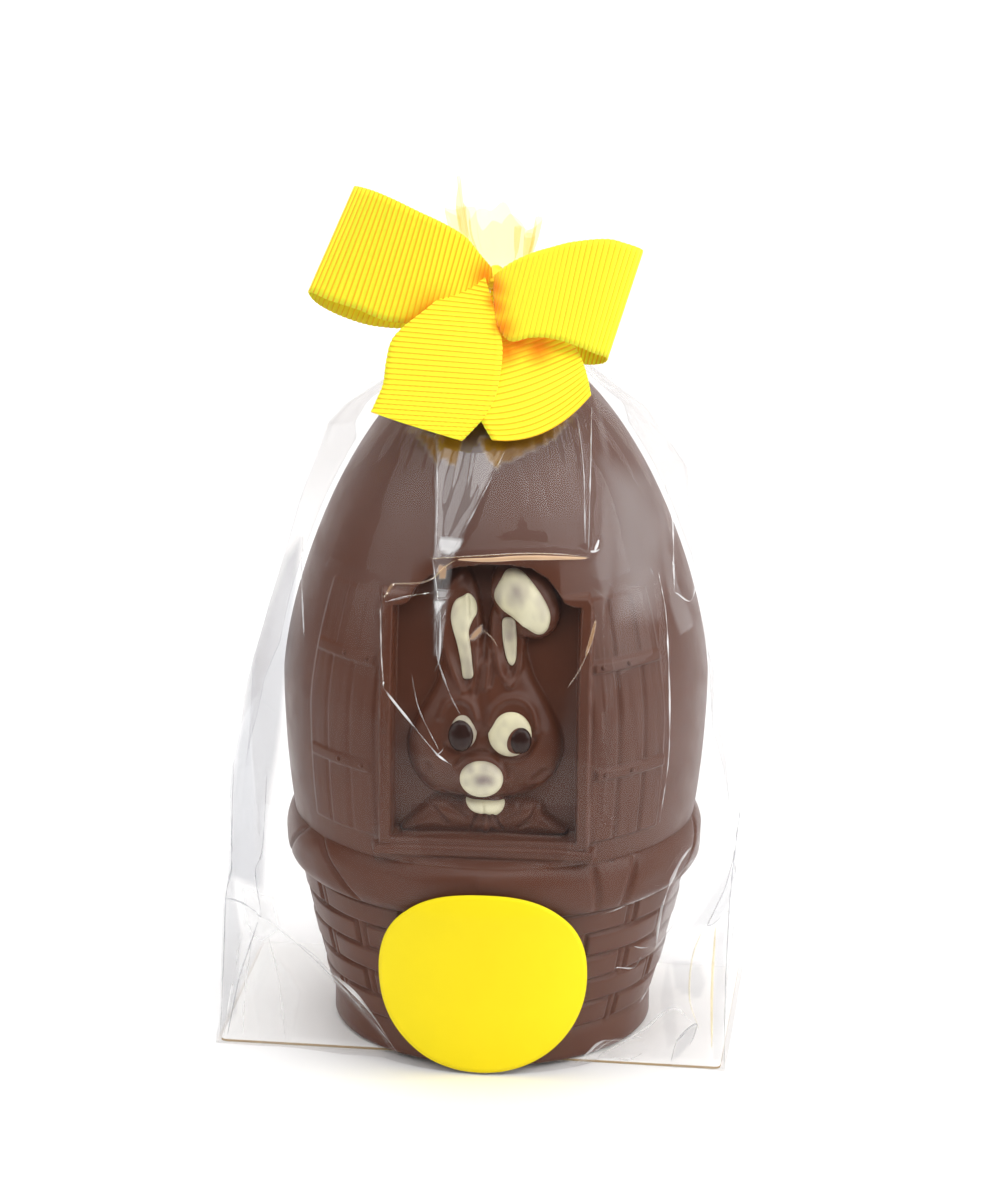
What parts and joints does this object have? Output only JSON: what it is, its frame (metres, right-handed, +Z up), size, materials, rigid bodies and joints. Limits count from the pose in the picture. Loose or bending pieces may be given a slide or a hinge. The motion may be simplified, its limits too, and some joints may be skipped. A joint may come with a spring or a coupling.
{
  "type": "bagged chocolate egg",
  "caption": "Moulded milk chocolate egg with a rabbit looking out of a window above a basket-weave base, in a clear bag on a card, tied with a grosgrain ribbon bow.",
  "frame": {"origin": "on the egg's upright axis, on the surface that the card lies on", "axes": "+Z up, front with the window towards -Y, +X to the right seen from the front"},
  "size_m": [0.1278, 0.1043, 0.2084],
  "materials": {
    "milk_chocolate": "satin milk chocolate",
    "white_chocolate": "satin white chocolate",
    "dark_chocolate": "glossy dark chocolate",
    "white_card": "smooth white board",
    "clear_film": "clear glossy film",
    "yellow_label": "matt coated paper",
    "yellow_ribbon": "ribbed grosgrain"
  },
  "bodies": {
    "root": {"egg": "milk_chocolate", "ear_stripe_left": "white_chocolate", "ear_stripe_right": "white_chocolate", "ear_flap_patch": "white_chocolate", "eye_white_right": "white_chocolate", "eye_white_left": "white_chocolate", "pupil_right": "dark_chocolate", "pupil_left": "dark_chocolate", "nose": "white_chocolate", "teeth": "white_chocolate", "card": "white_card", "bag": "clear_film", "label": "yellow_label", "bow_loop_left": "yellow_ribbon", "bow_loop_right": "yellow_ribbon", "bow_tail_left": "yellow_ribbon", "bow_tail_right": "yellow_ribbon", "bow_knot": "yellow_ribbon"}
  },
  "joints": []
}
